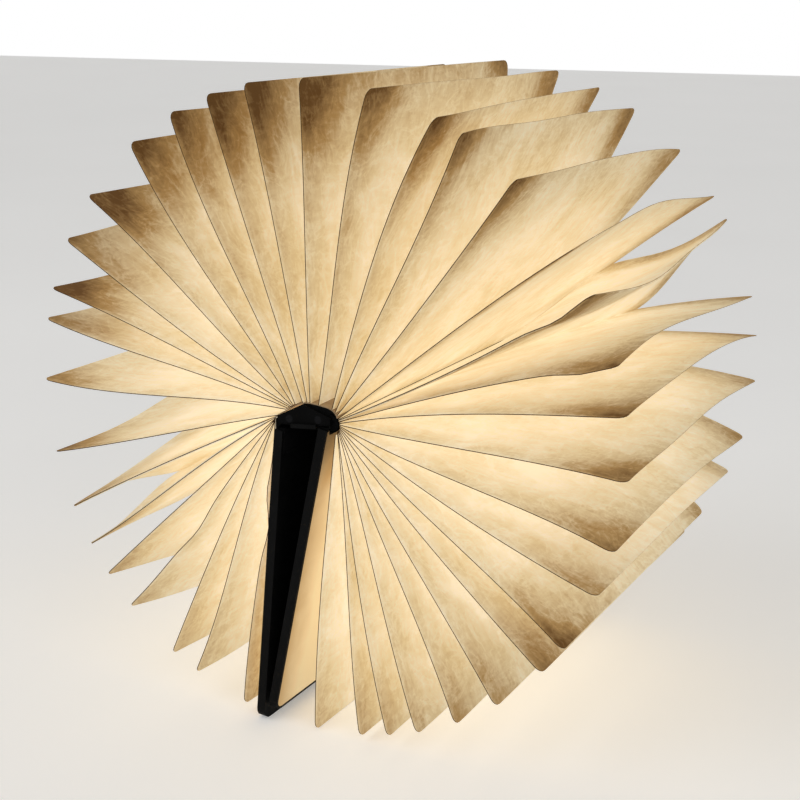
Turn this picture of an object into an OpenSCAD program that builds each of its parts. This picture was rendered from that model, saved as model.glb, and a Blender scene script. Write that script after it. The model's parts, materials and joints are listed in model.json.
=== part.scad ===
// Folding book lamp, opened right round so that its covers hang back to back.
// Millimetres. +X right, +Y along the spine towards the charging end, +Z up.
// The origin is on the table, straight below the spine.
// Profiles are drawn in the spine's own plane: v runs across the spine, u from its back to its pages.

/* [Covers] */
// Height of each cover, along the spine
cover_height = 215; // [205:1:240]
// Length of each cover from its joint edge to its fore edge
cover_len = 155.8; // [140:0.1:170]
// Thickness of the stiff board inside each cover
board_t = 3.4; // [2.5:0.1:4]
// Thickness of the covering material on the outside and round the edges
wrap_t = 0.8; // [0.5:0.1:1.2]
// Thickness of the end page glued inside each cover
end_page_t = 0.4; // [0.2:0.1:0.6]
// How far the covering material is turned in round the end page
turn_in = 1.5; // [1:0.5:12]
// Radius of the covers' fore-edge corners
cover_corner = 6; // [3:0.5:12]
// Radius of each closing magnet
magnet_r = 5; // [3:0.5:8]
// Thickness of each closing magnet
magnet_t = 1.8; // [1:0.1:2.2]
// Distance of the closing magnets from the fore edge
magnet_inset = 14; // [10:1:25]

/* [Pages] */
// How far the covers reach past the pages at each end
page_inset = 2.5; // [1:0.5:8]
// Thickness of a page, two sheets pressed together
page_t = 0.36; // [0.2:0.02:0.4]
// Radius of the pages' fore-edge corners
page_corner = 4.5; // [2:0.5:10]
// Gap between the lowest page's tip and the table
page_foot_gap = 0.1; // [0:0.1:0.5]

/* [Spine] */
// Width of the lamp housing
housing_w = 29; // [28:0.5:31]
// Height of the housing's side walls
shoulder_h = 3.5; // [3.2:0.1:4]
// Height of the ridge above the side walls
roof_rise = 6; // [5.5:0.1:7]
// Wall thickness of the housing and its light cover
wall = 1.2; // [1:0.1:1.4]
// Thickness of each end cap
cap_t = 3; // [2.4:0.1:4]
// Half width of the stiff board along the back of the spine
spine_board_half_w = 7; // [5:0.1:7.2]
// Thickness of the board along the back of the spine
spine_board_t = 2; // [1.5:0.1:2.4]
// Rise of the page binding above the housing's ridge
binding_rise = 2.4; // [2:0.1:3]
// How far the cloth joint bulges past the housing on the right
right_bulge = 4.1; // [3.8:0.1:4.4]
// How far the cloth joint bulges past the housing on the left
left_bulge = 2.9; // [2.8:0.1:3.1]
// Thickness of the cloth joints
cloth_t = 0.6; // [0.4:0.1:0.8]

/* [Electrics] */
// Width of each LED board
led_board_w = 6; // [5:0.1:6.4]
// Thickness of the circuit boards
pcb_t = 1; // [0.8:0.1:1.2]
// Number of LEDs on each board
led_count = 12; // [6:1:16]
// Width of the battery
battery_w = 10; // [8:0.1:10]
// Height of the battery
battery_h = 4.4; // [3:0.1:4.6]
// Length of the battery
battery_len = 120; // [80:1:130]
// Length of the control board
control_len = 34; // [25:1:38]
// Width of the charging socket
usb_w = 8.94; // [8.5:0.02:9.2]
// Height of the charging socket
usb_h = 3.26; // [3:0.02:3.4]
// Length of the charging socket
usb_len = 9.5; // [8:0.1:10]

/* [Pose] */
// Tilt of the spine, anticlockwise from the front
spine_tilt = 5; // [0:0.5:6]
// Direction in which the left cover hangs, anticlockwise from +X
left_cover_dir = 264.6; // [264.4:0.1:265.4]
// Direction in which the right cover hangs, anticlockwise from +X
right_cover_dir = 258; // [257.9:0.1:259]
// Direction of the lowest page on the right, anticlockwise from +X
first_page_dir = -88; // [-88.5:0.1:-87.5]

/* [Hidden] */
// Degrees from each page to the next, as the fan falls open
page_steps = [9, 6, 6, 8, 9, 11, 6, 12, 8, 12, 10, 8, 12, 7, 13, 11, 6, 11,
              13, 11, 8, 7, 11, 14, 9, 11, 7, 11, 16, 11, 8, 7, 7, 13, 5, 11];
page_count = len(page_steps) + 1;
// Where the first and last page stand round the spine, as angles on its root curve
root_from = -27;
root_to = 187;
corner_steps = 4;
curve_steps = 16;
seat = 0.3;       // gap between a soft piece and what carries it
fit = 0.05;       // clearance round a piece in its pocket
glue_gap = 0.2;   // gap left for glue behind a cloth joint

// Housing outline
ridge = shoulder_h + roof_rise;
half_w = housing_w / 2;
slope = atan(roof_rise / half_w);
foot_w = wall / sin(slope);
cap_out = 1;      // the end caps stand this far inside the covers' ends
housing_len = cover_height - 2 * cap_out - 2 * cap_t;

// Cover joints, in the spine's plane
joint_u = 1.5;
right_joint_out = 0.3;  // each turning axis stands this far out from the housing's wall
left_joint_out = 1;
right_joint_v = half_w + right_joint_out;
left_joint_v = half_w + left_joint_out;
joint_gap = 4.7;  // from the turning axis to the cover's joint edge
closed_out = 1;   // space between the housing's wall and a shut cover
closed_half_w = half_w + closed_out;
cover_t = end_page_t + board_t + wrap_t;
page_height = cover_height - 2 * page_inset;
fore = joint_gap + cover_len;

// Height of the spine's axis above the table: the left cover stands on its fore edge
left_joint_z = -left_joint_v * sin(spine_tilt) + joint_u * cos(spine_tilt);
axis_height = -min(left_foot_z(face_out(-1)), left_foot_z(face_out(-1) + cover_t));
// Pages reach down to the table on the right
page_reach = (axis_height - page_foot_gap) / -sin(first_page_dir);

// Screws and their bosses
screw_v = 8;
screw_u = 2.3;
screw_r = 0.8;
screw_len = 7;
head_r = 1.9;
head_h = 1.1;
boss_w = 4;
boss_len = 8;
usb_proud = 2.5;  // the socket reaches this far into the rear cap

function page_name(i) = str("page_", i < 9 ? "0" : "", i + 1);
function sum_to(list, n) = n <= 0 ? 0 : list[n - 1] + sum_to(list, n - 1);
function page_dir(i) = first_page_dir + sum_to(page_steps, i) - spine_tilt;
function arc(cx, cy, r, from, to, steps) =
    [for (k = [0:steps]) let (a = from + (to - from) * k / steps) [cx + r * cos(a), cy + r * sin(a)]];
// Point on the curve where the pages are rooted, moved inwards by `inset`
function root_point(angle, inset = 0) =
    [((cos(angle) > 0 ? half_w + right_bulge : half_w + left_bulge) - inset) * cos(angle),
     (ridge + binding_rise - inset) * sin(angle)];
function root_curve(from, to, inset) =
    [for (k = [0:curve_steps]) root_point(from + (to - from) * k / curve_steps, inset)];
// side is 1 for the right cover and -1 for the left one
function cover_dir(side) = (side > 0 ? right_cover_dir : left_cover_dir) - spine_tilt;
function joint_at(side) = [side > 0 ? right_joint_v : -left_joint_v, joint_u];
// From the turning axis out to the cover's page side
function face_out(side) = closed_half_w - abs(joint_at(side)[0]);
function left_foot_z(out) = left_joint_z + fore * sin(left_cover_dir) + out * cos(left_cover_dir);
function on_cover(side, along, out) =
    joint_at(side) + along * [cos(cover_dir(side)), sin(cover_dir(side))]
    + out * side * [sin(cover_dir(side)), -cos(cover_dir(side))];
// Sheet outline from a straight edge at x = from to a fore edge with two round corners
function sheet_outline(from, to, height, r) =
    concat([[from, -height / 2]],
           arc(to - r, -height / 2 + r, r, -90, 0, corner_steps),
           arc(to - r, height / 2 - r, r, 0, 90, corner_steps),
           [[from, height / 2]]);

module in_spine() translate([0, 0, axis_height]) rotate([0, -spine_tilt, 0]) children();

// A profile in the spine's plane, drawn out along the spine
module along_spine(length, y = 0)
    translate([0, y, 0]) rotate([90, 0, 0]) linear_extrude(length, center = true) children();

// A rod along the spine
module rod(v, u, y, r, length)
    translate([v, y, u]) rotate([90, 0, 0]) cylinder(r = r, h = length, center = true, $fn = 32);

// Pieces of a cover: x runs from the joint to the fore edge, z from the page side outwards
module in_cover(side) {
    at = joint_at(side);
    in_spine() translate([at[0], 0, at[1]]) rotate([0, -cover_dir(side), 0])
        mirror([0, 0, side > 0 ? 1 : 0]) translate([0, 0, face_out(side)]) children();
}

module layer(outline, from, to) translate([0, 0, from]) linear_extrude(to - from) polygon(outline);

// ---- lamp housing ----

module housing_tray() color([0.12, 0.12, 0.13]) in_spine() difference() {
    union() {
        along_spine(housing_len) polygon([
            [-half_w, 0], [half_w, 0], [half_w, shoulder_h], [half_w - wall, shoulder_h],
            [half_w - wall, wall], [wall - half_w, wall], [wall - half_w, shoulder_h],
            [-half_w, shoulder_h]]);
        for (side = [-1, 1], end = [-1, 1])
            along_spine(boss_len, end * (housing_len - boss_len) / 2)
                translate([side * screw_v - boss_w / 2, 0]) square([boss_w, boss_top()]);
    }
    for (side = [-1, 1], end = [-1, 1])
        rod(side * screw_v, screw_u, end * (housing_len - boss_len) / 2, screw_r + fit, boss_len + 1);
}

// The bosses stop just below the light cover's underside
function under_roof(v) = shoulder_h + (half_w - foot_w - v) * tan(slope);
function boss_top() = under_roof(screw_v + boss_w / 2) - 2 * fit;

module roof_outline() polygon([
    [-half_w, 0], [half_w, 0], [half_w, shoulder_h], [0, ridge], [-half_w, shoulder_h]]);

module end_cap(end) in_spine() difference() {
    along_spine(cap_t, end * (housing_len + cap_t) / 2) roof_outline();
    for (side = [-1, 1]) {
        rod(side * screw_v, screw_u, end * (housing_len + cap_t) / 2, screw_r + 2 * fit, cap_t + 1);
        screw_head(side, end, fit);
    }
    children();
}

// Countersunk head, wide end flush with the cap's outer face
module screw_head(side, end, extra)
    translate([side * screw_v, end * (housing_len / 2 + cap_t + extra), screw_u])
        rotate([90 * end, 0, 0]) cylinder(r1 = head_r + extra, r2 = screw_r, h = head_h + extra, $fn = 32);

module front_end_cap() color([0.05, 0.05, 0.055]) end_cap(-1);

module rear_end_cap() color([0.05, 0.05, 0.055]) end_cap(1)
    along_spine(cap_t + 1, (housing_len + cap_t) / 2)
        translate([-usb_w / 2 - 2 * fit, usb_u() - 2 * fit]) square([usb_w + 4 * fit, usb_h + 4 * fit]);

module diffuser() color([0.98, 0.93, 0.8]) in_spine() along_spine(housing_len) polygon([
    [-half_w, shoulder_h], [foot_w - half_w, shoulder_h], [0, under_roof(0)],
    [half_w - foot_w, shoulder_h], [half_w, shoulder_h], [0, ridge]]);

// ---- electrics, on the housing's floor ----

led_board_v = half_w - wall - 0.4 - led_board_w / 2;
led_board_len = housing_len - 2 * boss_len - 2;
led_size = [3.5, 2.8, 0.7];

module led_boards() color([0.93, 0.93, 0.9]) in_spine()
    for (side = [-1, 1])
        translate([side * led_board_v - led_board_w / 2, -led_board_len / 2, wall])
            cube([led_board_w, led_board_len, pcb_t]);

module leds() color([1, 0.85, 0.45]) in_spine()
    for (side = [-1, 1], k = [0:led_count - 1])
        translate([side * led_board_v - led_size[1] / 2,
                   (k + 0.5 - led_count / 2) * led_board_len / led_count - led_size[0] / 2,
                   wall + pcb_t])
            cube([led_size[1], led_size[0], led_size[2]]);

module battery() color([0.55, 0.6, 0.68]) in_spine()
    translate([-battery_w / 2, -battery_len / 2 - 10, wall]) cube([battery_w, battery_len, battery_h]);

function usb_u() = wall + pcb_t;
control_w = 2 * (screw_v - boss_w / 2) - 1;

module control_board() color([0.1, 0.35, 0.2]) in_spine()
    translate([-control_w / 2, housing_len / 2 - control_len, wall]) cube([control_w, control_len, pcb_t]);

module usb_port() color([0.75, 0.76, 0.78]) in_spine() {
    shell_t = 0.3;
    tongue = [6.7, 0.7];
    end_y = housing_len / 2 + usb_proud;
    difference() {
        along_spine(usb_len, end_y - usb_len / 2) translate([-usb_w / 2, usb_u()]) square([usb_w, usb_h]);
        along_spine(usb_len, end_y - usb_len / 2 + 2)
            translate([-usb_w / 2 + shell_t, usb_u() + shell_t])
                square([usb_w - 2 * shell_t, usb_h - 2 * shell_t]);
    }
    along_spine(usb_len - 1, end_y - usb_len / 2 - 0.5)
        translate([-tongue[0] / 2, usb_u() + (usb_h - tongue[1]) / 2]) square(tongue);
}

module hall_sensor() color([0.08, 0.08, 0.08]) in_spine()
    translate([-control_w / 2 + 1, housing_len / 2 - control_len + 3, wall + pcb_t]) cube([4, 3, 1.5]);

module cap_screws() color([0.3, 0.3, 0.32]) in_spine()
    for (side = [-1, 1], end = [-1, 1]) {
        rod(side * screw_v, screw_u, end * (housing_len / 2 + cap_t - head_h / 2 - screw_len / 2),
            screw_r, screw_len);
        screw_head(side, end, 0);
    }

// ---- back of the spine, page binding and cloth joints ----

module spine_board() color([0.06, 0.06, 0.065]) in_spine() along_spine(cover_height)
    translate([-spine_board_half_w, -spine_board_t]) square([2 * spine_board_half_w, spine_board_t]);

binding_from = 60;
binding_to = 166;
carry = seat + page_t / 2;

module page_binding() color([0.96, 0.86, 0.66]) in_spine() along_spine(page_height) polygon(concat(
    root_curve(binding_from, binding_to, carry),
    [[-half_w, shoulder_h], [0, ridge], [half_w, shoulder_h]]));

// Where each cloth joint starts and leaves the root curve, and where its lap on the cover starts
left_strip = [168, 189, 9];
right_strip = [53, -33, 12];
lap_len = 9;      // lap glued to each side of the cover
back_lap = 4;     // lap glued to the back of the spine

// Inner cloth from the binding round the joint and down the cover's page side, and
// outer cloth from the back of the spine to the cover's outer side
module hinge_strip(side, from, to, lap) color([0.06, 0.06, 0.065]) in_spine() {
    inner_out = face_out(side) - glue_gap;
    outer_out = face_out(side) + cover_t + glue_gap;
    back_u = -spine_board_t - glue_gap;
    along_spine(page_height) polygon(concat(
        root_curve(from, to, carry),
        [on_cover(side, lap, inner_out - cloth_t), on_cover(side, lap + lap_len, inner_out - cloth_t),
         on_cover(side, lap + lap_len, inner_out), on_cover(side, lap - 1, inner_out)],
        root_curve(to, from, carry + cloth_t)));
    along_spine(cover_height - 2 * cap_out) polygon([
        [side * (spine_board_half_w - back_lap), back_u], [side * (spine_board_half_w - 0.5), back_u],
        on_cover(side, joint_gap + 3, outer_out), on_cover(side, joint_gap + 3 + lap_len, outer_out),
        on_cover(side, joint_gap + 3 + lap_len, outer_out + cloth_t),
        on_cover(side, joint_gap + 3, outer_out + cloth_t),
        [side * (spine_board_half_w - 1), back_u - cloth_t],
        [side * (spine_board_half_w - back_lap), back_u - cloth_t]]);
}

module left_hinge_strip() hinge_strip(-1, left_strip[0], left_strip[1], left_strip[2]);
module right_hinge_strip() hinge_strip(1, right_strip[0], right_strip[1], right_strip[2]);

// ---- covers ----

wrap_outline = sheet_outline(joint_gap, fore, cover_height, cover_corner);
board_outline = sheet_outline(joint_gap + wrap_t, fore - wrap_t, cover_height - 2 * wrap_t,
                              cover_corner - wrap_t);
end_page_outline = sheet_outline(joint_gap + wrap_t, fore - turn_in, cover_height - 2 * turn_in,
                                 page_corner);
magnet_ys = [-0.3, 0.3] * cover_height;
// A third magnet near the left cover's joint works the lamp's switch
switch_magnet_in = 8;
switch_magnet = [joint_gap + switch_magnet_in, 0.35 * cover_height];

module magnet_places(side) {
    for (y = magnet_ys) translate([fore - magnet_inset, y, 0]) children();
    if (side < 0) translate([switch_magnet[0], switch_magnet[1], 0]) children();
}

module cover_board(side) color([0.35, 0.3, 0.25]) in_cover(side) difference() {
    layer(board_outline, end_page_t, end_page_t + board_t);
    magnet_places(side) translate([0, 0, end_page_t + board_t - magnet_t])
        cylinder(r = magnet_r + fit, h = magnet_t + 1, $fn = 32);
}

module cover_wrap(side) color([0.05, 0.05, 0.055]) in_cover(side) difference() {
    layer(wrap_outline, 0, cover_t);
    layer(board_outline, end_page_t, end_page_t + board_t);
    layer(end_page_outline, -1, end_page_t + fit);
}

module end_page(side) color([0.96, 0.88, 0.7]) in_cover(side)
    layer(end_page_outline, 0, end_page_t);

module magnets(side) color([0.7, 0.7, 0.72]) in_cover(side)
    magnet_places(side) translate([0, 0, end_page_t + board_t - magnet_t])
        cylinder(r = magnet_r, h = magnet_t, $fn = 32);

module left_cover_board() cover_board(-1);
module left_cover_wrap() cover_wrap(-1);
module left_end_page() end_page(-1);
module left_magnets() magnets(-1);
module right_cover_board() cover_board(1);
module right_cover_wrap() cover_wrap(1);
module right_end_page() end_page(1);
module right_magnets() magnets(1);

// ---- pages ----

// Page i runs from the root curve to the circle that all the tips lie on
module page(i) {
    root = root_point(root_from + (root_to - root_from) * i / (page_count - 1));
    tip = page_reach * [cos(page_dir(i)), sin(page_dir(i))];
    run = tip - root;
    color([0.98, 0.9, 0.68]) in_spine() translate([root[0], 0, root[1]])
        rotate([0, -atan2(run[1], run[0]), 0])
            layer(sheet_outline(0, norm(run), page_height, page_corner), -page_t / 2, page_t / 2);
}

housing_tray();
front_end_cap();
rear_end_cap();
diffuser();
led_boards();
leds();
battery();
control_board();
usb_port();
hall_sensor();
cap_screws();
spine_board();
page_binding();
left_hinge_strip();
right_hinge_strip();
left_cover_board();
left_cover_wrap();
left_end_page();
left_magnets();
right_cover_board();
right_cover_wrap();
right_end_page();
right_magnets();
for (i = [0:page_count - 1]) page(i);
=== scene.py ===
import json
import math
import random
import bpy
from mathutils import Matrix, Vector


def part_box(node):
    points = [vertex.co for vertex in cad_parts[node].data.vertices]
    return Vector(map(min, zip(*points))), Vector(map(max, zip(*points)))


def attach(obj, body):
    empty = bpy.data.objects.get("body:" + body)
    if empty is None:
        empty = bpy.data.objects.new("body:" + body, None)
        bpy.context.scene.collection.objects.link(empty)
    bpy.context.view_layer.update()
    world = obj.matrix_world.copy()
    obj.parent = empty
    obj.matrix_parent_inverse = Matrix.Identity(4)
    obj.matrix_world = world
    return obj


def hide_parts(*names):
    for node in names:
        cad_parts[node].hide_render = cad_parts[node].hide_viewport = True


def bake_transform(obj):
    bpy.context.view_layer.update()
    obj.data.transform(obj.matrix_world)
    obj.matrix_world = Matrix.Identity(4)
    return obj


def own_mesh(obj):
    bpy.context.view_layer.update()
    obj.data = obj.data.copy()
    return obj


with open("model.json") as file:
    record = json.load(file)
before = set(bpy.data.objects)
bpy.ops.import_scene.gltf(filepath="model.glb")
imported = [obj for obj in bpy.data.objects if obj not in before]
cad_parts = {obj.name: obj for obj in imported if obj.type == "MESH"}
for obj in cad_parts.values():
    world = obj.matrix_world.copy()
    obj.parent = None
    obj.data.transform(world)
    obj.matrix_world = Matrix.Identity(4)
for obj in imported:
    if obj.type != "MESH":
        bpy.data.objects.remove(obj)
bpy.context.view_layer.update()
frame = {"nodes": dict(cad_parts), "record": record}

NODES = frame["nodes"]
SCENE = bpy.context.scene
MM = 0.001

# ---- camera at the photograph's viewing angle ----

CAMERA_AIM = Vector((-0.4523, 0.8523, -0.2624))
LENS, SENSOR = 67.8, 36

camera = bpy.data.objects.new("camera", bpy.data.cameras.new("camera"))
SCENE.collection.objects.link(camera)
camera.location = (0.36085, -0.68952, 0.35789)
camera.rotation_euler = CAMERA_AIM.to_track_quat("-Z", "Y").to_euler()
camera.data.lens, camera.data.sensor_width = LENS, SENSOR
SCENE.camera = camera

# ---- materials ----

# The front edge and painted-shade margin of the covers' papers, how high the spine is, and how far its painted
# shade reaches
PAPER_FRONT, PAPER_MARGIN = 0.105, 1 / 45
SPINE_UP, SPINE_SHADE = 0.162, 0.04


class Tree:
    """The nodes of a material or of the world. Values may be numbers or other nodes' outputs."""

    def __init__(self, tree):
        self.nodes, self.links = tree.nodes, tree.links

    def put(self, socket, value):
        if isinstance(value, bpy.types.NodeSocket):
            self.links.new(value, socket)
        else:
            socket.default_value = value

    def math(self, operation, a, b=0.0, clamp=False):
        node = self.nodes.new("ShaderNodeMath")
        node.operation, node.use_clamp = operation, clamp
        self.put(node.inputs[0], a)
        self.put(node.inputs[1], b)
        return node.outputs[0]

    def split(self, vector):
        node = self.nodes.new("ShaderNodeSeparateXYZ")
        self.put(node.inputs[0], vector)
        return node.outputs

    def seen(self):
        """1 for the camera's own rays and for those off gloss or through glass, 0 for the light's."""
        rays = self.nodes.new("ShaderNodeLightPath").outputs
        gloss = self.math("MAXIMUM", rays["Is Glossy Ray"], rays["Is Transmission Ray"])
        return self.math("MAXIMUM", rays["Is Camera Ray"], gloss)


class Material(Tree):
    """A procedural material on one Principled shader."""

    def __init__(self, name, roughness, **sockets):
        self.material = bpy.data.materials.new(name)
        self.material.use_nodes = True
        super().__init__(self.material.node_tree)
        self.shader = self.nodes["Principled BSDF"]
        self.set(Roughness=roughness, **sockets)
        self.where = self.nodes.new("ShaderNodeTexCoord").outputs["Object"]

    def scaled(self, where, factors, turn=0.0):
        node = self.nodes.new("ShaderNodeMapping")
        self.put(node.inputs["Vector"], where)
        node.inputs["Scale"].default_value = factors
        node.inputs["Rotation"].default_value = (0, 0, math.radians(turn))
        return node.outputs[0]

    def noise(self, scale, detail=3, distortion=0.0, where=None, roughness=0.5):
        node = self.nodes.new("ShaderNodeTexNoise")
        self.put(node.inputs["Vector"], where or self.where)
        node.inputs["Scale"].default_value = scale
        node.inputs["Detail"].default_value = detail
        node.inputs["Roughness"].default_value = roughness
        node.inputs["Distortion"].default_value = distortion
        return node.outputs[0]

    def cells(self, scale):
        node = self.nodes.new("ShaderNodeTexVoronoi")
        node.feature = "DISTANCE_TO_EDGE"
        self.put(node.inputs["Vector"], self.where)
        node.inputs["Scale"].default_value = scale
        return node.outputs["Distance"]

    def ramp(self, value, *stops):
        node = self.nodes.new("ShaderNodeValToRGB")
        self.put(node.inputs[0], value)
        while len(node.color_ramp.elements) < len(stops):
            node.color_ramp.elements.new(0.5)
        for element, (at, colour) in zip(node.color_ramp.elements, stops):
            element.position = at
            element.color = (*colour, 1)
        return node.outputs[0]

    def bump(self, height, distance, strength=0.5):
        node = self.nodes.new("ShaderNodeBump")
        node.inputs["Strength"].default_value = strength
        node.inputs["Distance"].default_value = distance
        self.put(node.inputs["Height"], height)
        self.links.new(node.outputs[0], self.shader.inputs["Normal"])

    def set(self, **sockets):
        for key, value in sockets.items():
            self.put(self.shader.inputs[key.replace("_", " ")], value)
        return self


def leather(name, dark, light):
    m = Material(name, 0.6, Specular_IOR_Level=0.07)
    grain = m.math("ADD", m.math("MULTIPLY", m.cells(1100), 1.4, True), m.noise(2600, 2))
    m.bump(grain, 0.00012, 0.6)
    return m.set(Base_Color=m.ramp(m.noise(60, 5), (0.35, dark), (0.7, light)),
                 Roughness=m.ramp(m.noise(220, 3), (0.3, (0.5,) * 3), (0.7, (0.68,) * 3))).material


def cloth(name, dark, light):
    m = Material(name, 0.9, Specular_IOR_Level=0.06)
    across = m.noise(900, 1, where=m.scaled(m.where, (1, 0.25, 1)))
    along = m.noise(900, 1, where=m.scaled(m.where, (0.25, 1, 1)))
    weave = m.math("MULTIPLY", across, along)
    m.bump(weave, 0.0002, 0.5)
    return m.set(Base_Color=m.ramp(weave, (0.12, dark), (0.4, light))).material


def plastic(name, dark, light, roughness=0.5, specular=0.5):
    m = Material(name, roughness, Specular_IOR_Level=specular)
    m.bump(m.noise(3500, 2), 0.00005, 0.4)
    return m.set(Base_Color=m.ramp(m.noise(90, 4), (0.3, dark), (0.7, light))).material


def metal(name, dark, light, roughness=0.32):
    m = Material(name, roughness, Metallic=1.0)
    streaks = m.noise(700, 3, where=m.scaled(m.where, (1, 12, 12)))
    m.bump(streaks, 0.00002, 0.3)
    return m.set(Base_Color=m.ramp(streaks, (0.3, dark), (0.7, light))).material


def glowing(name, dark, light, glow, strength):
    m = Material(name, 0.6, Emission_Strength=strength)
    cloud = m.noise(300, 4, 0.6)
    return m.set(Base_Color=m.ramp(cloud, (0.3, dark), (0.7, light)),
                 Emission_Color=m.ramp(cloud, (0.25, tuple(0.8 * c for c in glow)), (0.75, glow))).material


def end_paper(name):
    """The sheet inside a cover, with painted shade beside the spine and along its front margin, and a painted
    glow where it is lit.
    """
    m = Material(name, 0.7, Specular_IOR_Level=0.1, Emission_Strength=1.0)
    _, y, z = m.split(m.where)
    inwards = m.math("MULTIPLY", m.math("ADD", y, PAPER_FRONT), 1 / PAPER_MARGIN, True)
    away = m.math("MULTIPLY", m.math("SUBTRACT", SPINE_UP, z), 1 / SPINE_SHADE, True)
    lit = m.math("MULTIPLY", away, m.math("ADD", m.math("MULTIPLY", inwards, 0.4), 0.4))
    value = m.math("ADD", lit, m.math("MULTIPLY", m.noise(45, 5, 0.8), 0.25))
    ground = m.ramp(value, (0.1, (0.2, 0.11, 0.04)), (0.5, (0.6, 0.44, 0.25)), (0.85, (0.77, 0.66, 0.46)))
    glow = m.ramp(value, (0.1, (0, 0, 0)), (0.5, (0.14, 0.09, 0.035)), (0.85, (0.3, 0.25, 0.16)))
    return m.set(Base_Color=ground, Emission_Color=glow).material


def board(name, dark, light):
    m = Material(name, 0.9, Specular_IOR_Level=0.1)
    fibres = m.noise(500, 5, 0.8, where=m.scaled(m.where, (1, 0.3, 1)))
    m.bump(fibres, 0.0001, 0.4)
    return m.set(Base_Color=m.ramp(fibres, (0.3, dark), (0.7, light))).material


def paper(name):
    """A page. Its attribute `leaf` holds the distance from the lit root, the place along the spine and
    how much of the lamp's light comes through the sheet there, from 0 to 1. That light is painted: less
    of it browns the sheet's colour as painted shade, more of it raises a painted glow."""
    m = Material(name, 0.8, Specular_IOR_Level=0.1, Emission_Strength=1.0)
    leaf = m.nodes.new("ShaderNodeAttribute")
    leaf.attribute_name = "leaf"
    _, _, lit = m.split(leaf.outputs["Vector"])
    place = m.scaled(leaf.outputs["Vector"], (1, 1, 0))
    clouds = m.noise(24, 5, 0.8, place, 0.55)
    wisps = m.noise(45, 4, 2.4, m.scaled(place, (0.6, 1.6, 1), 35), 0.55)
    threads = m.noise(130, 3, 1.5, m.scaled(place, (1.8, 0.5, 1), -20), 0.55)
    speck = m.noise(420, 2, 0.3, place)
    fibres = m.math("ADD", m.math("MULTIPLY", wisps, 0.6), m.math("MULTIPLY", threads, 0.4))
    mottle = m.math("ADD", m.math("MULTIPLY", clouds, 0.45),
                    m.math("ADD", m.math("MULTIPLY", fibres, 0.45), m.math("MULTIPLY", speck, 0.1)))
    through = m.math("ADD", lit, m.math("MULTIPLY", m.math("SUBTRACT", mottle, 0.5), 1.1))
    for scale, twist, share in ((34, 1.4, 0.075), (75, 1.0, 0.06)):
        ridge = m.math("ABSOLUTE", m.math("SUBTRACT", m.noise(scale, 4, twist, place, 0.6), 0.5))
        vein = m.math("SUBTRACT", 1.0, m.math("MULTIPLY", ridge, 26), True)
        through = m.math("ADD", through, m.math("MULTIPLY", m.math("SUBTRACT", vein, 0.25), share))
    m.bump(fibres, 0.0002, 0.3)
    return m.set(Base_Color=m.ramp(through, *GROUND), Emission_Color=m.ramp(through, *GLOW)).material


# Colours by how much light comes through, all painted: the sheet's colour, browned as painted shade where
# little comes, and its painted glow
GROUND = [(0.0, (0.2, 0.1, 0.03)), (0.33, (0.5, 0.33, 0.15)), (0.55, (0.7, 0.575, 0.385)),
          (0.72, (0.775, 0.69, 0.51)), (1.0, (0.84, 0.77, 0.64))]
GLOW = [(0.0, (0.0, 0.0, 0.0)), (0.35, (0.075, 0.043, 0.012)), (0.65, (0.2, 0.16, 0.09)),
        (1.0, (0.345, 0.315, 0.26))]
PAGE = paper("page_sheet")
# The pages' cut edges are painted dark brown as painted shade along their thin edge lines
CUT_EDGE = board("page_cut_edge", (0.07, 0.032, 0.01), (0.13, 0.068, 0.024))
FOLD_EDGE = board("page_fold", (0.4, 0.26, 0.12), (0.58, 0.4, 0.2))

# The maker of each finish and its values: dark and light colour, then what else that maker takes
RECIPES = {
    "housing_plastic": (plastic, (0.012, 0.012, 0.014), (0.02, 0.02, 0.022)),
    "cap_plastic": (plastic, (0.001,) * 3, (0.0025,) * 3, 0.6, 0.04),
    "diffuser_plastic": (glowing, (0.85, 0.75, 0.55), (0.95, 0.86, 0.66), (1.0, 0.82, 0.5), 0.8),
    "white_circuit_board": (plastic, (0.8, 0.79, 0.75), (0.88, 0.87, 0.84)),
    "green_circuit_board": (plastic, (0.01, 0.08, 0.035), (0.02, 0.12, 0.055), 0.35),
    "chip_plastic": (plastic, (0.006,) * 3, (0.012,) * 3),
    "led_phosphor": (glowing, (0.9, 0.7, 0.25), (1.0, 0.8, 0.35), (1.0, 0.84, 0.5), 2.0),
    "battery_foil": (metal, (0.26, 0.3, 0.36), (0.36, 0.4, 0.46), 0.45),
    "socket_steel": (metal, (0.5, 0.52, 0.54), (0.66, 0.67, 0.7)),
    "screw_steel": (metal, (0.005, 0.005, 0.0055), (0.014, 0.014, 0.015), 0.5),
    "magnet_nickel": (metal, (0.5,) * 3, (0.62,) * 3, 0.2),
    "cover_leather": (leather, (0.001,) * 3, (0.003,) * 3),
    "joint_cloth": (cloth, (0.0015,) * 3, (0.005,) * 3),
    "grey_board": (board, (0.12, 0.1, 0.08), (0.2, 0.17, 0.14)),
    # The binding is painted dark brown as painted shade between the pages' roots, with a faint painted glow
    "binding_paper": (glowing, (0.28, 0.18, 0.09), (0.38, 0.26, 0.14), (0.9, 0.62, 0.34), 0.05),
    "end_page_paper": (end_paper,),
}
FINISHES = {slot: make(slot, *values) for slot, (make, *values) in RECIPES.items()}
FINISHES["spine_leather"] = FINISHES["cover_leather"]
for part in frame["record"]["subparts"]:
    finish = FINISHES.get(part["material_slot"], PAGE)
    node = NODES[part["node"]]
    node.data.materials.clear()
    node.data.materials.append(finish)

# ---- helpers for meshes ----

SHARP_FROM = math.radians(40)
BEVEL_STEPS = 3


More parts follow.
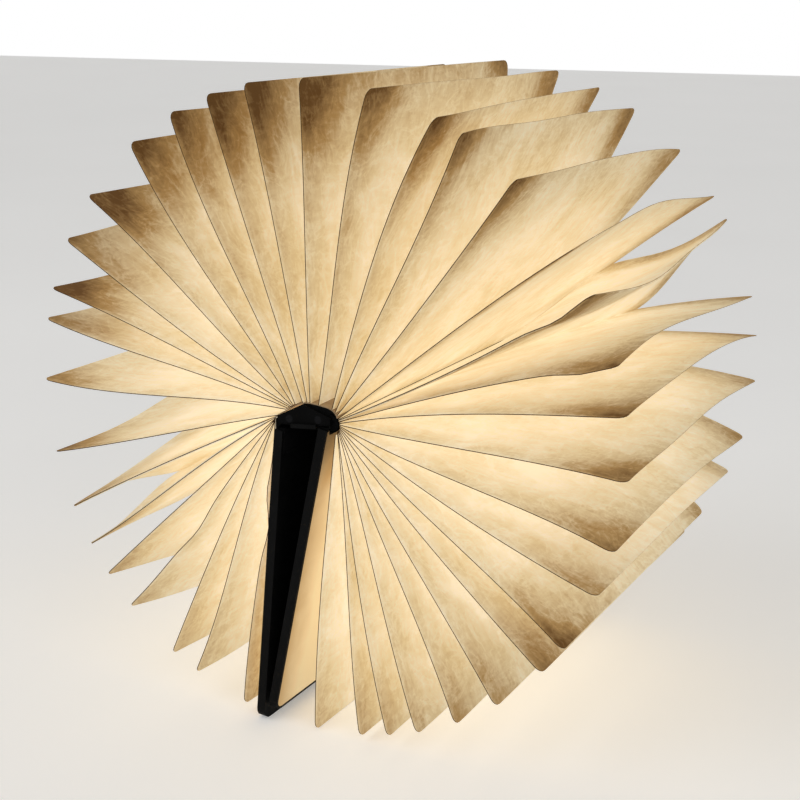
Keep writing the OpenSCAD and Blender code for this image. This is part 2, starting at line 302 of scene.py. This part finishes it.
def soften(name, width):
    """A small round on a CAD node's edges."""
    modifier = NODES[name].modifiers.new("soft_edges", "BEVEL")
    modifier.width, modifier.segments, modifier.limit_method = width, BEVEL_STEPS, "ANGLE"
    modifier.angle_limit = SHARP_FROM


SOFTENED = {"left_cover_wrap": 0.5, "right_cover_wrap": 0.5, "front_end_cap": 0.3, "rear_end_cap": 0.3,
            "spine_board": 0.4}
for name, width in SOFTENED.items():
    soften(name, width * MM)


def new_mesh(name, points, faces, materials, kinds=None, body=None):
    """A smooth-shaded object; kinds are its faces' materials, and body what it rides on."""
    mesh = bpy.data.meshes.new(name)
    mesh.from_pydata(points, [], faces)
    for material in materials:
        mesh.materials.append(material)
    mesh.polygons.foreach_set("use_smooth", [True] * len(faces))
    if kinds:
        mesh.polygons.foreach_set("material_index", kinds)
    mesh.update()
    mesh.set_sharp_from_angle(angle=SHARP_FROM)
    obj = bpy.data.objects.new(name, mesh)
    SCENE.collection.objects.link(obj)
    if body:
        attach(obj, body)
    return obj


# ---- pages ----

PAGE_NAMES = sorted(n for n in NODES if n.startswith("page_") and n[5:].isdigit())
HUB = Vector((0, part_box("page_20")[1][2] / 2))
TILT = math.radians(5)
SAME = 0.5 * MM
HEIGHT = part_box("page_20")[1][1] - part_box("page_20")[0][1]
# A page's corner radius, its thickness, how thin its outer edge is, and the steps of its mesh: out to
# the corner, along the spine, and round the corner
CORNER = 4.5 * MM
THICK = 0.42 * MM
EDGE_THIN = 0.55
COLUMNS, ROWS, ARC = 22, 28, 4
# The first page's seed, how far its fibres' pattern lies from the next page's, the share of the random
# waves that the pages by the covers have and that all have at their ends, and how deep a ripple goes
FIRST_SEED, PATTERN_STEP = 100, 0.37
END_CALM, WAVE_AT_ENDS, RIPPLE_DEPTH = 0.4, 0.15, 0.3
# Painted light through a page: its share in the middle and the least share. How far its painted highlight
# and shades reach: in millimetres from its ends, the rim's painted highlight and the margin's painted
# shade, the margin wider further out, then the tip's shade from its front. In shares of its length: where
# its tip's shade begins, and how far its root's goes; in a share of its height, its fold's
MIDDLE_LIGHT, LEAST_LIGHT = 0.84, 0.02
RIM_HIGHLIGHT_WIDTH, MARGIN, MARGIN_GROWTH, TIP_SHADE = 1.6, 14, 26, 75
TIP_FROM, ROOT_SHADE, FOLD_SHADE = 0.66, 0.12, 0.4


def in_spine(v, u):
    """A point of the spine's own plane, given in millimetres across it and up from its back."""
    x, z = v * math.cos(TILT) - u * math.sin(TILT), v * math.sin(TILT) + u * math.cos(TILT)
    return Vector((x, z)) * MM + HUB


def row(half, r, rows):
    """The place along the spine of a mesh's row, closer to its neighbours towards the ends."""
    return half * math.sin(math.pi * (r / rows - 0.5))


# Where the folds gather on the spine, in millimetres across it and up from its back: page number
# to place, the pages in between evenly spaced
GATHERED = {1: (16, -5), 2: (17.2, -3.4), 6: (18.2, -2.4), 8: (18.6, -1.5), 11: (18.7, 0), 15: (18.3, 3),
            16: (17.8, 4.5), 17: (17, 6), 18: (15.4, 7.4), 19: (8.2, 9.2), 20: (3.6, 9.9), 21: (2, 10),
            22: (-0.5, 9.8), 23: (-4.8, 9), 24: (-6, 8.7), 27: (-8, 7.6), 29: (-10.5, 6.4), 30: (-15.5, 3.2),
            34: (-17, 1.2), 37: (-17.2, 0)}
# How each page bends off its flat place, in millimetres anticlockwise seen from the front: its
# front corner, its back corner, a third of the way out, two thirds of the way out, its middle
FORM = {1: (-3, 0, -1.5, -2, 0), 2: (-2.5, 0, 0, -1, 0), 3: (-3, 0, -2, -2.5, 0), 4: (-3, 0, 0, -1, 0),
        5: (-2.5, 0, 0, 1, 0), 6: (-2.5, 0, -1, 0, 0), 7: (-2, 0, -2.5, -2, 0), 8: (-1.5, 0, -1, 0.5, 0),
        9: (-2.5, -4, -3, -3, 4), 10: (-2, -4, -1, 1, 4), 11: (-2.5, -5, 0, 1, 4), 12: (-1.5, -8, 3, 2.5, 6),
        13: (-2, -8, 2.5, 3, 5), 14: (-3, 3, -2.5, -2.5, -7), 15: (-2, -3, 1, 1.5, 5), 16: (0, -9, -1, -1, 3),
        17: (0, -5, 0, -1, 3), 18: (-2, 1.5, 4, 5, 0), 19: (1.5, -4, 1.5, 3, 1), 20: (0.5, -8, 0, -0.5, 0),
        21: (0, 0, -1, -1.5, 0), 22: (-0.5, 0, 0.5, 0.5, 0), 23: (2.5, 0, 1, 3, 0), 24: (1, 0, 1.5, 3, 0),
        25: (0.5, 0, 0, -1.5, 1), 26: (3, 0, 2.5, 2, 0), 27: (0.5, 0, -1, -1.5, 0), 28: (-2, 0, -0.5, 1, 2),
        29: (0.5, 8, 0, 2, -2), 30: (-5, -16, 0, 0.5, 2), 31: (-5, -32, -1, -1, 0),
        32: (-5, -6, -1.5, 0, -1), 33: (-6.5, 12, 0, 0, 3), 34: (-5.5, 16, 1, 2.5, 4),
        35: (-7.5, -2.5, -2, -1.5, 2), 36: (-5.5, -2.5, -0.5, 1.5, 1), 37: (-4, -1.5, 1, -0.5, 0)}
# A belly in a page's back edge: its millimetres, how far out it lies, how sharp it is
NO_BELLY = (0, 1, 1)
BACK_BELLY = {14: (12, 0.84, 4)}
# For a layer that has its own form from end to end
ALL_OWN = (-1.5, -0.5)
# Pages seen edge-on show that they are folded double along the front edge: the second layer's form
# and belly, where along the spine it leaves the first, and the share of light lost beside the fold as painted
# shade
SECOND_LAYER = {14: ((-3, 3, -2.5, -2.5, -7), (-17, 1, 2.3), ALL_OWN, 0.2),
                31: ((1, 1, -1, -1, 0), NO_BELLY, (-0.44, -0.02), 0),
                32: ((-20, -23, -1.5, 0, 0), NO_BELLY, (-0.46, -0.04), 0)}
# A ripple in a page's front edge: how far out, how wide, how many millimetres
RIPPLES = {34: [(0.54, 0.1, 2)], 37: [(0.36, 0.08, 2.2), (0.24, 0.07, -1.5)], 14: [(0.86, 0.08, -2)],
           13: [(0.88, 0.07, -1.5)]}
# How much of the painted light is lost, as painted shade, towards each page's tip
USUAL_LOSS = 0.12
TIP_LOSS = {4: 0.2, 5: 0.25, 6: 0.3, 7: 0.42, 8: 0.6, 9: 0.26, 10: 0.5, 11: 0.42, 12: 0.42, 13: 0.42,
            14: 0.15, 15: 0.25, 16: 0.4, 17: 0.42, 18: 0.4, 19: 0.5, 20: 0.75, 21: 0.65, 22: 0.6, 23: 0.5,
            24: 0.55, 25: 0.85, 26: 0.45, 27: 0.85, 28: 0.35, 29: 0.4, 30: 0.6, 31: 0.4, 32: 0.25, 33: 0.2}


def gathered_at(number):
    """Where a page's fold lies on the spine."""
    known = sorted(GATHERED)
    low = max(k for k in known if k <= number)
    high = min(k for k in known if k >= number)
    share = 0 if high == low else (number - low) / (high - low)
    (v0, u0), (v1, u1) = GATHERED[low], GATHERED[high]
    return in_spine(v0 + (v1 - v0) * share, u0 + (u1 - u0) * share)


def page_ends(name):
    """A page's root, the direction it runs out in, and its length, from its flat CAD sheet."""
    points = [Vector((v.co.x, v.co.z)) for v in NODES[name].data.vertices]
    tip = max(points, key=lambda p: (p - HUB).length)
    root = max(points, key=lambda p: (p - tip).length)
    near = [p for p in points if (p - root).length < SAME]
    root = sum(near, Vector((0, 0))) / len(near)
    far = [p for p in points if (p - tip).length < SAME]
    tip = sum(far, Vector((0, 0))) / len(far)
    along = (tip - root).normalized()
    return root, along, max((p - root).dot(along) for p in points)


def smooth(x):
    """0 below 0, 1 above 1, and an even curve between them."""
    x = min(1.0, max(0.0, x))
    return x * x * (3 - 2 * x)


def build_page(index, name):
    """A page: one thin bent sheet, or two where it shows double, with its light in `leaf`."""
    root, along, length = page_ends(name)
    up = Vector((-along.y, along.x))
    rng = random.Random(FIRST_SEED + index)
    number = index + 1
    layers = [(FORM[number], BACK_BELLY.get(number, NO_BELLY), ALL_OWN, 0)]
    if number in SECOND_LAYER:
        layers.append(SECOND_LAYER[number])
    gathered = gathered_at(number) - root
    start, aside = gathered.dot(along), gathered.dot(up)
    phases = [rng.random() * math.tau for _ in range(4)]
    sizes = [rng.uniform(0.8, 2.0), rng.uniform(0.5, 1.2), rng.uniform(0.3, 0.7)]
    loss = TIP_LOSS.get(number, USUAL_LOSS)
    calm = END_CALM if number in (1, len(PAGE_NAMES)) else 1.0
    # The lower pages on both sides get a little more painted light
    low = 0.1 * smooth((15 - number) / 8) + 0.08 * smooth((number - 22) / 8)

    # g is how far out, from 0 to 1, and q how far along the spine, from -0.5 at the front to 0.5
    def shape(g, q, layer):
        (front, back, third, two_thirds, lift), (belly, reach, sharp) = layer[:2]
        lean = (front * (0.5 - q) + back * (0.5 + q)) * g
        # A cubic that is 0 at both ends and takes its two values a third and two thirds of the way out
        bow = 13.5 * g * (g - 1) * (third * (g - 2 / 3) - two_thirds * (g - 1 / 3))
        bulge = belly * max(0.0, math.sin(math.pi * min(1.0, g) ** reach)) ** sharp * (0.5 + q) ** 2
        return lean + bow + bulge + lift * g ** 1.5 * (1 - 4 * q * q)

    def offset(out, y, layer):
        g, q = out / length, y / HEIGHT
        begin, end = layer[2]
        own = smooth((q - begin) / (end - begin))
        inside = 1 - 4 * q * q
        wave = (sizes[0] * math.sin(math.tau * 0.9 * q + phases[0]) * g ** 1.6
                + sizes[1] * math.sin(math.tau * (0.9 * g + 0.5 * q) + phases[1]) * g ** 1.4
                + sizes[2] * math.sin(math.tau * (1.6 * q - 0.7 * g) + phases[2]) * g ** 1.8)
        bend = own * shape(g, q, layer) + (1 - own) * shape(g, q, layers[0])
        bend += wave * calm * (WAVE_AT_ENDS + (1 - WAVE_AT_ENDS) * inside)
        for at, width, size in RIPPLES.get(number, ()):
            bend += size * math.exp(-((g - at) / width) ** 2 - ((0.5 + q) / RIPPLE_DEPTH) ** 2)
        return bend * MM + aside * (1 - g)

    # Painted light on a sheet: painted shade along its end margins, at its tip, in its root's hollow and beside
    # its fold, and a painted highlight along its rim
    def light(out, y, layer):
        g, from_end = out / length, (0.5 - abs(y) / HEIGHT) * HEIGHT / MM
        margin = (0.1 + (0.3 - low) * g) * (1 - smooth(from_end / (MARGIN + MARGIN_GROWTH * g)))
        rim_highlight = 0.12 * (1 - smooth(from_end / RIM_HIGHLIGHT_WIDTH))
        corner = max(0.0, g - TIP_FROM) / (1 - TIP_FROM)
        from_front = 0.5 + y / HEIGHT
        tip = loss * corner ** 1.2 * (0.45 + 0.55 * (1 - smooth(from_front * HEIGHT / MM / TIP_SHADE)))
        root_hollow_shade = 0.1 * (1 - smooth(g / ROOT_SHADE))
        fold = layer[3] * (1 - smooth(from_front / FOLD_SHADE))
        return max(LEAST_LIGHT, MIDDLE_LIGHT + low - margin + rim_highlight - tip - root_hollow_shade - fold)

    stops = [(length - CORNER) * k / COLUMNS for k in range(COLUMNS + 1)]
    stops += [length - CORNER + CORNER * math.sin(math.radians(90 * k / ARC)) for k in range(1, ARC + 1)]
    points, leaf, columns = [], [], len(stops)
    faces, kinds = [], []
    for layer in layers:
        first, side, edge = len(points), columns * (ROWS + 1), 1 if layer is layers[0] else 0
        under = 0 if layer is layers[0] else math.copysign(THICK, layer[0][1] + layer[1][0] - layers[0][0][1])
        for face in (1, -1):
            for c, out in enumerate(stops):
                past = max(0.0, out - (length - CORNER))
                half = HEIGHT / 2 - CORNER + math.sqrt(max(0.0, CORNER ** 2 - past ** 2))
                thick = THICK / 2 * (EDGE_THIN if c == columns - 1 else 1.0)
                for r in range(ROWS + 1):
                    y = row(half, r, ROWS)
                    p = root + along * (out + start * (1 - out / length))
                    p += up * (offset(out, y, layer) + under + face * thick)
                    points.append((p.x, y, p.y))
                    leaf.append((out, y + PATTERN_STEP * index, light(out, y, layer)))
        for c in range(columns - 1):
            a, b = first + c * (ROWS + 1), first + (c + 1) * (ROWS + 1)
            for r in range(ROWS):
                faces += [(a + r, a + r + 1, b + r + 1, b + r),
                          (a + r + side, b + r + side, b + r + 1 + side, a + r + 1 + side)]
                kinds += [0, 0]
            faces += [(a, b, b + side, a + side), (b + ROWS, a + ROWS, a + ROWS + side, b + ROWS + side)]
            kinds += [edge, edge]
        for r in range(ROWS):
            a, b = first + r, first + (columns - 1) * (ROWS + 1) + r
            faces += [(a + 1, a, a + side, a + 1 + side), (b, b + 1, b + 1 + side, b + side)]
            kinds += [2 * edge, 2 * edge]
    obj = new_mesh(name.replace("page", "leaf"), points, faces, [PAGE, CUT_EDGE, FOLD_EDGE], kinds, name)
    layer = obj.data.attributes.new("leaf", "FLOAT_VECTOR", "POINT")
    layer.data.foreach_set("vector", [x for p in leaf for x in p])
    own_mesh(obj)
    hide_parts(name)
    return obj


for index, name in enumerate(PAGE_NAMES):
    build_page(index, name)

# ---- cloth joints and the paper binding ----

# In millimetres in the spine's plane: each joint's axis, each cover's direction in degrees and how far its
# page side is set out, a cover's thickness, and the cloth's
JOINT_OUT = {"left": -15.5, "right": 14.8}
JOINT_UP = 1.5
COVER_DIR = {"left": 259.6, "right": 253.0}
FACE_OUT = {"left": 0.0, "right": 0.7}
COVER_T = 4.6
CLOTH = 0.5
FLAP_T = 0.4 * MM
ROUNDINGS = 2
RIBBON_ROWS = 40
LONG_WAVE, SHORT_WAVE = 0.011, 0.0047


def on_cover(side, run, out):
    """A point beside a cover: run along it from its joint, out from its page side."""
    angle = math.radians(COVER_DIR[side])
    turn = 1 if side == "right" else -1
    off = (FACE_OUT[side] + out) * turn
    return (JOINT_OUT[side] + run * math.cos(angle) + off * math.sin(angle),
            JOINT_UP + run * math.sin(angle) - off * math.cos(angle))


def rounded(path):
    """The path with its corners rounded off."""
    points = [Vector(p) for p in path]
    for _ in range(ROUNDINGS):
        rough, points = points, [points[0]]
        for a, b in zip(rough, rough[1:]):
            points += [a.lerp(b, 0.25), a.lerp(b, 0.75)]
        points.append(rough[-1])
    return points


def ribbon(name, path, thick, half, material, ripple, flaps=()):
    """Cloth or paper drawn out along the spine from a path of (v, u) points in the spine's plane. A flap is
    a place along the spine and the outline of a piece folded over there."""
    rows = RIBBON_ROWS
    line = rounded(path)
    rng = random.Random(name)
    shift = [rng.random() * math.tau for _ in range(3)]
    normals = []
    for k, p in enumerate(line):
        run = line[min(k + 1, len(line) - 1)] - line[max(k - 1, 0)]
        normals.append(Vector((-run.y, run.x)).normalized())
    points, faces = [], []
    count = len(line)
    for face in (0.5, -0.5):
        for r in range(rows + 1):
            y = row(half, r, rows)
            for k, (p, n) in enumerate(zip(line, normals)):
                wander = ripple * math.sin(math.pi * k / (count - 1)) * (
                    math.sin(y / LONG_WAVE + shift[0]) + 0.6 * math.sin(y / SHORT_WAVE + shift[1] + k * 0.3))
                q = in_spine(*(p + n * (face * thick + wander)))
                points.append((q.x, y, q.y))
    layer = (rows + 1) * count
    for r in range(rows):
        for k in range(count - 1):
            a, b = r * count + k, r * count + k + 1
            faces += [(a, b, b + count, a + count),
                      (layer + a, layer + a + count, layer + b + count, layer + b)]
    for k in range(count - 1):
        faces.append((k + 1, k, layer + k, layer + k + 1))
        a = rows * count + k
        faces.append((a, a + 1, layer + a + 1, layer + a))
    for r in range(rows):
        a, b = r * count, (r + 1) * count
        faces.append((a, b, layer + b, layer + a))
        faces.append((b + count - 1, a + count - 1, layer + a + count - 1, layer + b + count - 1))
    for y, outline in flaps:
        for depth in (0.0, FLAP_T):
            base = len(points)
            for v, u in outline:
                q = in_spine(v, u)
                points.append((q.x, y + depth, q.y))
            order = list(range(base, base + len(outline)))
            faces.append(order if depth == 0.0 else order[::-1])
        base = len(points) - 2 * len(outline)
        for k in range(len(outline)):
            a, b = base + k, base + (k + 1) % len(outline)
            faces.append((b, a, a + len(outline), b + len(outline)))
    return new_mesh(name, points, faces, [material])


CLOTH_FINISH = FINISHES["joint_cloth"]
COVER_HALF = 106.3 * MM
INNER_INSET, BINDING_INSET = 0.6 * MM, 0.3 * MM
BINDING_T = 0.5
INNER_RIPPLE, BACK_RIPPLE, BINDING_RIPPLE = 0.12, 0.05, 0.08
# The inner cloths' paths at rest, the flaps over their ends, how far they lap on the covers and the widths
# they are cut to
INNER = {"right": [(13.6, 5), (15.8, 4.6), (17.9, 2.4), (18.4, -0.6), (17.4, -2.6), (14.6, -3.9)],
         "left": [(-13.8, 3.8), (-15.6, 3), (-16.9, 1.6), (-17, 0.2), (-16.8, -1.5)]}
FLAP = {"right": [(1.2, 9.6), (3.6, 9.5), (8.2, 8.7), (12.6, 7.6), (15.2, 6.4), *INNER["right"][1:],
                  (11.8, -4.4), (11, 0)],
        "left": [*INNER["left"], on_cover("left", 7.5, -0.4), on_cover("left", 4, 0.3), (-14, 0.5),
                 (-13.2, 3)]}
LAP = {"right": (5.2, 7), "left": (6, 9)}
for side in ("left", "right"):
    turn = 1 if side == "right" else -1
    lap = [on_cover(side, run, -0.5) for run in LAP[side]]
    inner_path = INNER[side] + lap
    flap = FLAP[side][::turn]
    half = HEIGHT / 2 - INNER_INSET
    inner = ribbon(side + "_inner_cloth", inner_path, CLOTH, half, CLOTH_FINISH,
                   INNER_RIPPLE, [(-half, flap), (half - FLAP_T, flap)])
    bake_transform(inner)
    start = (turn * 13.4, -0.35)
    outer_path = [start, (turn * 14.2, -1.2), on_cover(side, 4.3, 0.6), on_cover(side, 4.2, 2.4),
                  on_cover(side, 4.2, COVER_T - 0.4), on_cover(side, 4.8, COVER_T + 0.3),
                  on_cover(side, 7, COVER_T + 0.3), on_cover(side, 16, COVER_T + 0.3)]
    outer = ribbon(side + "_outer_cloth", outer_path, CLOTH, COVER_HALF, CLOTH_FINISH, 0.0)
    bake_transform(outer)
    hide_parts(side + "_hinge_strip")

back_path = [(-13.6, -0.35), (-8, -0.35), (-7.4, -1), (-7.3, -2.3), (-6, -2.35), (6, -2.35), (7.3, -2.3),
             (7.4, -1), (8, -0.35), (13.6, -0.35)]
back_cloth = ribbon("spine_back_cloth", back_path, CLOTH, COVER_HALF, CLOTH_FINISH, BACK_RIPPLE)
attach(back_cloth, "spine")

binding_path = [(-15.2, 3.4), (-10.5, 5.7), (-6, 7.9), (-4.6, 8.5), (-0.5, 9.9), (3.6, 9.9), (8.2, 9.1),
                (13, 7.9), (15.6, 6.6), (17.2, 4.6), (17.6, 3)]
binding = ribbon("leaf_binding", binding_path, BINDING_T, HEIGHT / 2 - BINDING_INSET, FINISHES["binding_paper"],
                 BINDING_RIPPLE)
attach(binding, "spine")
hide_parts("page_binding")

# ---- stage and light ----

# The world's own light on the object, where 1 is what shows as white, and how much the floor is lifted
AMBIENT, FLOOR_LIFT = 0.34, 0.3
FLOOR_HALF, FLOOR_DROP = 6, 0.05 * MM
LAMPS_AIM = Vector((0, 0, 0.15))

floor_mesh = bpy.data.meshes.new("floor")
floor_mesh.from_pydata([(x * FLOOR_HALF, y * FLOOR_HALF, -FLOOR_DROP)
                        for x, y in ((-1, -1), (1, -1), (1, 1), (-1, 1))], [], [(0, 1, 2, 3)])
floor = bpy.data.objects.new("floor", floor_mesh)
SCENE.collection.objects.link(floor)
ground = Material("floor_paint", 0.9)
ground.set(Base_Color=ground.ramp(ground.noise(3, 2), (0.3, (0.82, 0.815, 0.8)), (0.7, (0.86, 0.855, 0.84))))
ground.shader.inputs["Emission Color"].default_value = (1, 0.99, 0.97, 1)
ground.set(Emission_Strength=ground.math("MULTIPLY", ground.seen(), FLOOR_LIFT))
floor_mesh.materials.append(ground.material)

world = bpy.data.worlds.new("studio")
SCENE.world = world
world.use_nodes = True
sky = world.node_tree.nodes["Background"]
sky.inputs["Color"].default_value = (1, 1, 1, 1)
air = Tree(world.node_tree)
air.put(sky.inputs["Strength"], air.math("ADD", AMBIENT, air.math("MULTIPLY", air.seen(), 1 - AMBIENT)))


def lamp(name, place, size, power):
    """A soft round light on the object."""
    data = bpy.data.lights.new(name, "AREA")
    data.shape, data.size, data.energy = "DISK", size, power
    obj = bpy.data.objects.new(name, data)
    SCENE.collection.objects.link(obj)
    obj.location = place
    obj.rotation_euler = (LAMPS_AIM - Vector(place)).to_track_quat("-Z", "Y").to_euler()


lamp("key_light", (-0.9, -1.2, 1.5), 1.4, 7)
lamp("fill_light", (1.3, -0.9, 1.0), 1.2, 4)
SCENE.view_settings.view_transform = "Standard"
